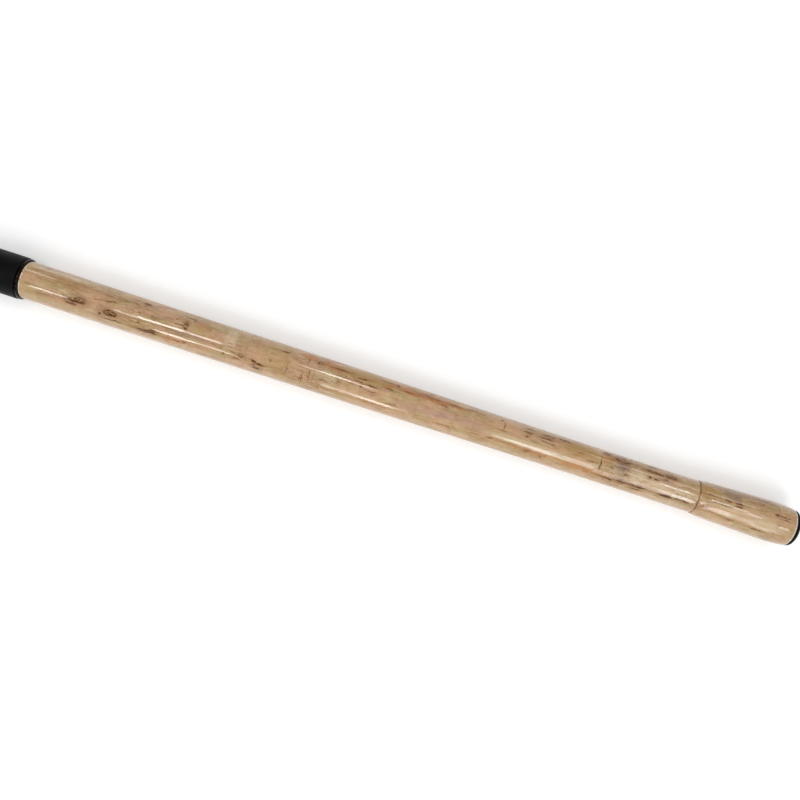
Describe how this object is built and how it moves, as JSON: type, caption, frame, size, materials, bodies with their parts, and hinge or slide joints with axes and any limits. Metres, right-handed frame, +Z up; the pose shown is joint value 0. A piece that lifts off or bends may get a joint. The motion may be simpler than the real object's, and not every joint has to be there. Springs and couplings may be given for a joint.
{
  "type": "carp fishing rod",
  "caption": "Two-piece carp rod with a full-length varnished cork handle, flared butt, screw reel seat, overfit ferrule and stand-off line guides.",
  "frame": {"origin": "centre of the flat outer face of the butt cap, on the rod's axis", "axes": "+X along the rod from the butt to the tip, +Z up with the rod lying on its side, so the guides point to +Y and a little up"},
  "size_m": [3.6578, 0.0822, 0.053],
  "materials": {
    "cork": "natural cork rings sanded flush under a glossy clear film",
    "butt_cap": "satin black",
    "trim": "polished black",
    "reel_seat": "matte charcoal black",
    "carbon": "varnished dark carbon",
    "arbor": "plain grey",
    "whipping": "black thread under clear varnish",
    "guide_frame": "dark plated steel",
    "guide_ring": "polished dark ceramic",
    "line_clip": "bright spring steel"
  },
  "bodies": {
    "butt_section": {"butt_blank": "carbon", "butt_cap": "butt_cap", "butt_guide_ceramic_ring": "guide_ring", "butt_guide_frame": "guide_frame", "butt_guide_front_whipping": "whipping", "butt_guide_rear_whipping": "whipping", "front_seat_arbor": "arbor", "front_trim_ring": "trim", "grip_cork_rings_01": "cork", "grip_cork_rings_02": "cork", "grip_cork_rings_03": "cork", "grip_cork_rings_04": "cork", "grip_cork_rings_05": "cork", "grip_cork_rings_06": "cork", "grip_cork_rings_07": "cork", "grip_cork_rings_08": "cork", "grip_cork_rings_09": "cork", "grip_cork_rings_10": "cork", "grip_cork_rings_11": "cork", "grip_cork_rings_12": "cork", "handle_whipping": "whipping", "line_clip": "line_clip", "line_clip_whipping": "whipping", "rear_seat_arbor": "arbor", "rear_trim_ring": "trim", "reel_seat_body": "reel_seat", "swell_cork_ring_1": "cork", "swell_cork_ring_2": "cork", "swell_cork_ring_3": "cork", "swell_cork_ring_4": "cork", "swell_cork_ring_5": "cork"},
    "sliding_hood": {"sliding_hood": "reel_seat"},
    "lock_nut": {"lock_nut": "reel_seat"},
    "tip_section": {"ferrule_whipping": "whipping", "guide_2_ceramic_ring": "guide_ring", "guide_2_frame": "guide_frame", "guide_2_front_whipping": "whipping", "guide_2_rear_whipping": "whipping", "guide_3_ceramic_ring": "guide_ring", "guide_3_frame": "guide_frame", "guide_3_front_whipping": "whipping", "guide_3_rear_whipping": "whipping", "guide_4_ceramic_ring": "guide_ring", "guide_4_frame": "guide_frame", "guide_4_rear_whipping": "whipping", "guide_5_ceramic_ring": "guide_ring", "guide_5_frame": "guide_frame", "guide_5_rear_whipping": "whipping", "tip_blank": "carbon", "tip_ring_ceramic_ring": "guide_ring", "tip_ring_frame": "guide_frame", "tip_ring_whipping": "whipping"}
  },
  "joints": [
    {"name": "hood_slide", "type": "slide", "parent": "butt_section", "child": "sliding_hood", "axis": [1, 0, 0], "range_m": [-0.03, 0.005]},
    {"name": "nut_spin", "type": "hinge", "parent": "sliding_hood", "child": "lock_nut", "pos_m": [0.66577, 0, 0], "axis": [1, 0, 0], "range_deg": [-7200, 1200]},
    {"name": "tip_pull", "type": "slide", "parent": "butt_section", "child": "tip_section", "axis": [1, 0, 0], "range_m": [0, 0.086]}
  ],
  "couplings": [
    {"joint": "hood_slide", "follows": "nut_spin", "m_per_rad": 0.00023873}
  ]
}
